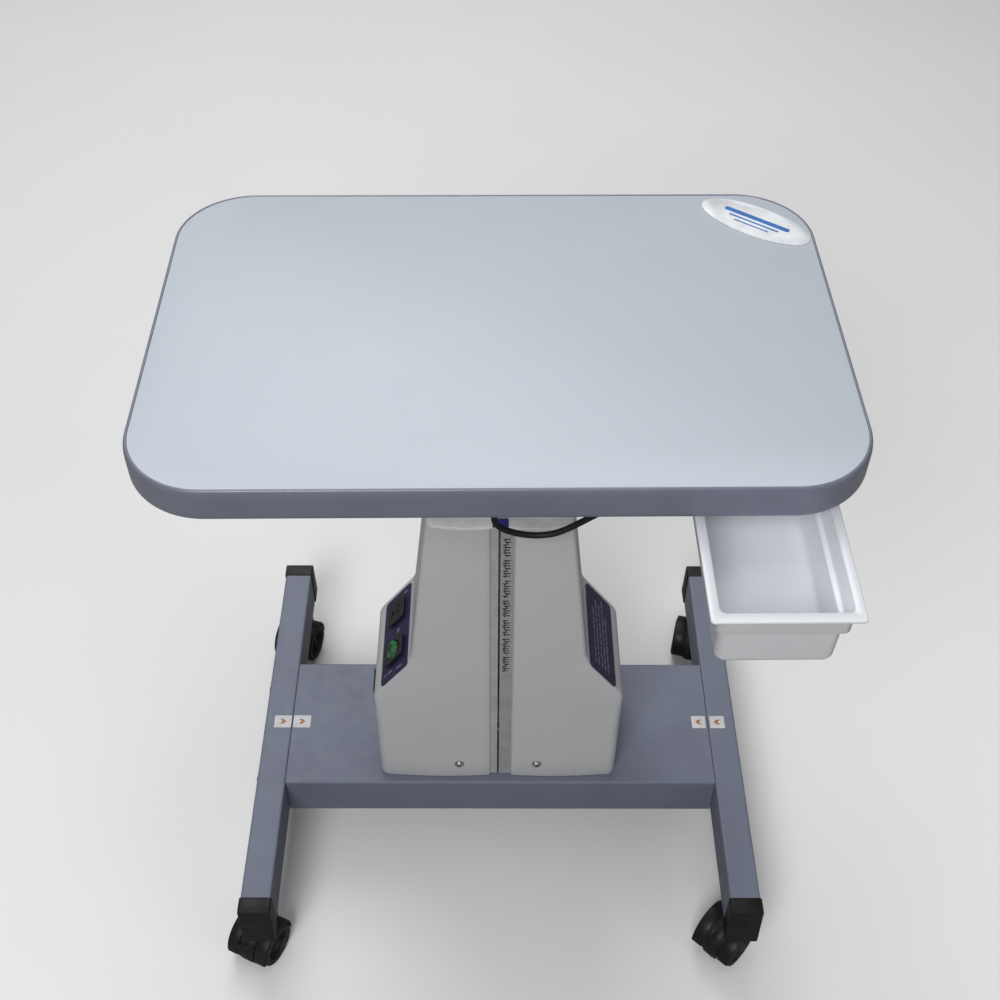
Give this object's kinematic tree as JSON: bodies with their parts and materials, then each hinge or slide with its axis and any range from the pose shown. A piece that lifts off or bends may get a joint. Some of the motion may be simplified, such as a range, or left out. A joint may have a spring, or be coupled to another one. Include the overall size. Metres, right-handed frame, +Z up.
{
  "type": "instrument table",
  "caption": "Motorised height-adjustable instrument table: wheeled frame, two-part column shroud, telescopic lift, rounded top with edge band and a side drawer tray.",
  "frame": {"origin": "on the floor under the middle of the whole table's outline, at the pictured height", "axes": "+Z up; -Y is the front, where the user sits; +X is the side with the drawer"},
  "size_m": [0.603, 0.5484, 0.7305],
  "materials": {
    "powder_coat": "grey-blue powder coat, fine texture",
    "cap_black": "black moulded plastic",
    "castor_black": "black moulded nylon",
    "wheel_black": "black soft tread",
    "fastener": "zinc plated steel",
    "black_fastener": "black steel",
    "shroud_grey": "light grey paint, fine orange peel",
    "panel_blue": "dark blue printed film",
    "socket_black": "black moulded plastic",
    "switch_green": "green translucent rocker",
    "cast_metal": "as cast",
    "drive_steel": "turned steel",
    "tube_steel": "drawn steel tube",
    "bronze": "machined bronze",
    "nylon": "natural nylon",
    "copper": "varnished coil and iron",
    "circuit": "green circuit board",
    "board_top": "pale grey-blue laminate on a wood panel",
    "band": "grey-blue moulded edge band",
    "badge": "white printed plate",
    "tray_white": "white moulded plastic",
    "cable_black": "black cable sheath"
  },
  "bodies": {
    "base": {"rail_left": "powder_coat", "rail_right": "powder_coat", "base_channel": "powder_coat", "rail_cap_front_left": "cap_black", "rail_cap_front_right": "cap_black", "rail_cap_rear_left": "cap_black", "rail_cap_rear_right": "cap_black", "rail_bolt_front_left": "black_fastener", "rail_bolt_front_right": "black_fastener", "rail_bolt_rear_left": "black_fastener", "rail_bolt_rear_right": "black_fastener", "shroud_left": "shroud_grey", "shroud_right": "shroud_grey", "shroud_screw_front_left": "fastener", "shroud_screw_front_right": "fastener", "shroud_screw_rear_left": "fastener", "shroud_screw_rear_right": "fastener", "socket_panel": "panel_blue", "label_panel": "panel_blue", "outlet_socket": "socket_black", "power_switch_bezel": "socket_black", "power_inlet": "socket_black", "gearbox_housing": "cast_metal", "gearbox_cover": "cast_metal", "screw_bearing": "drive_steel", "lift_motor": "drive_steel", "transformer": "copper", "control_board": "circuit", "column_outer_tube": "tube_steel", "column_guide_bush": "nylon"},
    "lift": {"column_inner_tube": "tube_steel", "column_guide_shoe": "nylon", "lift_nut": "bronze", "column_cover": "shroud_grey", "top_bracket": "powder_coat", "tabletop_board": "board_top", "edge_band": "band", "badge_plate": "badge", "drawer_runner_left": "tube_steel", "drawer_runner_right": "tube_steel", "control_box": "socket_black", "control_cable": "cable_black"},
    "screw": {"lead_screw": "drive_steel", "worm_wheel": "bronze"},
    "worm": {"worm_shaft": "drive_steel"},
    "drawer": {"drawer_tray": "tray_white"},
    "power_switch": {"power_rocker": "switch_green"},
    "control_switch": {"control_rocker": "socket_black"},
    "castor_front_left": {"castor_body_front_left": "castor_black"},
    "wheel_front_left_a": {"castor_wheel_front_left_a": "wheel_black"},
    "wheel_front_left_b": {"castor_wheel_front_left_b": "wheel_black"},
    "castor_front_right": {"castor_body_front_right": "castor_black"},
    "wheel_front_right_a": {"castor_wheel_front_right_a": "wheel_black"},
    "wheel_front_right_b": {"castor_wheel_front_right_b": "wheel_black"},
    "castor_rear_left": {"castor_body_rear_left": "castor_black"},
    "wheel_rear_left_a": {"castor_wheel_rear_left_a": "wheel_black"},
    "wheel_rear_left_b": {"castor_wheel_rear_left_b": "wheel_black"},
    "castor_rear_right": {"castor_body_rear_right": "castor_black"},
    "wheel_rear_right_a": {"castor_wheel_rear_right_a": "wheel_black"},
    "wheel_rear_right_b": {"castor_wheel_rear_right_b": "wheel_black"}
  },
  "joints": [
    {"name": "lift_slide", "type": "slide", "parent": "base", "child": "lift", "axis": [0, 0, 1], "range_m": [-0.08, 0.12]},
    {"name": "screw_spin", "type": "hinge", "parent": "base", "child": "screw", "pos_m": [0.00336, 0.01482, 0.148], "axis": [0, 0, 1], "continuous": true},
    {"name": "worm_spin", "type": "hinge", "parent": "base", "child": "worm", "pos_m": [0.00336, -0.01208, 0.148], "axis": [1, 0, 0], "continuous": true},
    {"name": "drawer_slide", "type": "slide", "parent": "lift", "child": "drawer", "axis": [0.0112, -0.9999, 0], "range_m": [-0.1, 0.08]},
    {"name": "power_rock", "type": "hinge", "parent": "base", "child": "power_switch", "pos_m": [-0.11007, -0.01068, 0.30531], "axis": [0.5753, 0, 0.818], "range_deg": [-16, 0]},
    {"name": "control_rock", "type": "hinge", "parent": "lift", "child": "control_switch", "pos_m": [0.11196, -0.14694, 0.6872], "axis": [0.9999, 0.0112, 0], "range_deg": [-8, 8]},
    {"name": "castor_swivel_front_left", "type": "hinge", "parent": "base", "child": "castor_front_left", "pos_m": [-0.25984, -0.18918, 0.06], "axis": [0, 0, 1], "continuous": true},
    {"name": "wheel_spin_front_left_a", "type": "hinge", "parent": "castor_front_left", "child": "wheel_front_left_a", "pos_m": [-0.26703, -0.20459, 0.025], "axis": [0.9063, -0.4226, 0], "continuous": true},
    {"name": "wheel_spin_front_left_b", "type": "hinge", "parent": "castor_front_left", "child": "wheel_front_left_b", "pos_m": [-0.26703, -0.20459, 0.025], "axis": [0.9063, -0.4226, 0], "continuous": true},
    {"name": "castor_swivel_front_right", "type": "hinge", "parent": "base", "child": "castor_front_right", "pos_m": [0.27256, -0.18918, 0.06], "axis": [0, 0, 1], "continuous": true},
    {"name": "wheel_spin_front_right_a", "type": "hinge", "parent": "castor_front_right", "child": "wheel_front_right_a", "pos_m": [0.26119, -0.20181, 0.025], "axis": [0.7431, -0.6691, 0], "continuous": true},
    {"name": "wheel_spin_front_right_b", "type": "hinge", "parent": "castor_front_right", "child": "wheel_front_right_b", "pos_m": [0.26119, -0.20181, 0.025], "axis": [0.7431, -0.6691, 0], "continuous": true},
    {"name": "castor_swivel_rear_left", "type": "hinge", "parent": "base", "child": "castor_rear_left", "pos_m": [-0.25984, 0.23482, 0.06], "axis": [0, 0, 1], "continuous": true},
    {"name": "wheel_spin_rear_left_a", "type": "hinge", "parent": "castor_rear_left", "child": "wheel_rear_left_a", "pos_m": [-0.26481, 0.21856, 0.025], "axis": [0.9563, -0.2924, 0], "continuous": true},
    {"name": "wheel_spin_rear_left_b", "type": "hinge", "parent": "castor_rear_left", "child": "wheel_rear_left_b", "pos_m": [-0.26481, 0.21856, 0.025], "axis": [0.9563, -0.2924, 0], "continuous": true},
    {"name": "castor_swivel_rear_right", "type": "hinge", "parent": "base", "child": "castor_rear_right", "pos_m": [0.27256, 0.23482, 0.06], "axis": [0, 0, 1], "continuous": true},
    {"name": "wheel_spin_rear_right_a", "type": "hinge", "parent": "castor_rear_right", "child": "wheel_rear_right_a", "pos_m": [0.26845, 0.21832, 0.025], "axis": [0.9703, -0.2419, 0], "continuous": true},
    {"name": "wheel_spin_rear_right_b", "type": "hinge", "parent": "castor_rear_right", "child": "wheel_rear_right_b", "pos_m": [0.26845, 0.21832, 0.025], "axis": [0.9703, -0.2419, 0], "continuous": true}
  ],
  "couplings": [
    {"joint": "screw_spin", "follows": "lift_slide", "rad_per_m": 785.4},
    {"joint": "worm_spin", "follows": "lift_slide", "rad_per_m": 15708}
  ]
}
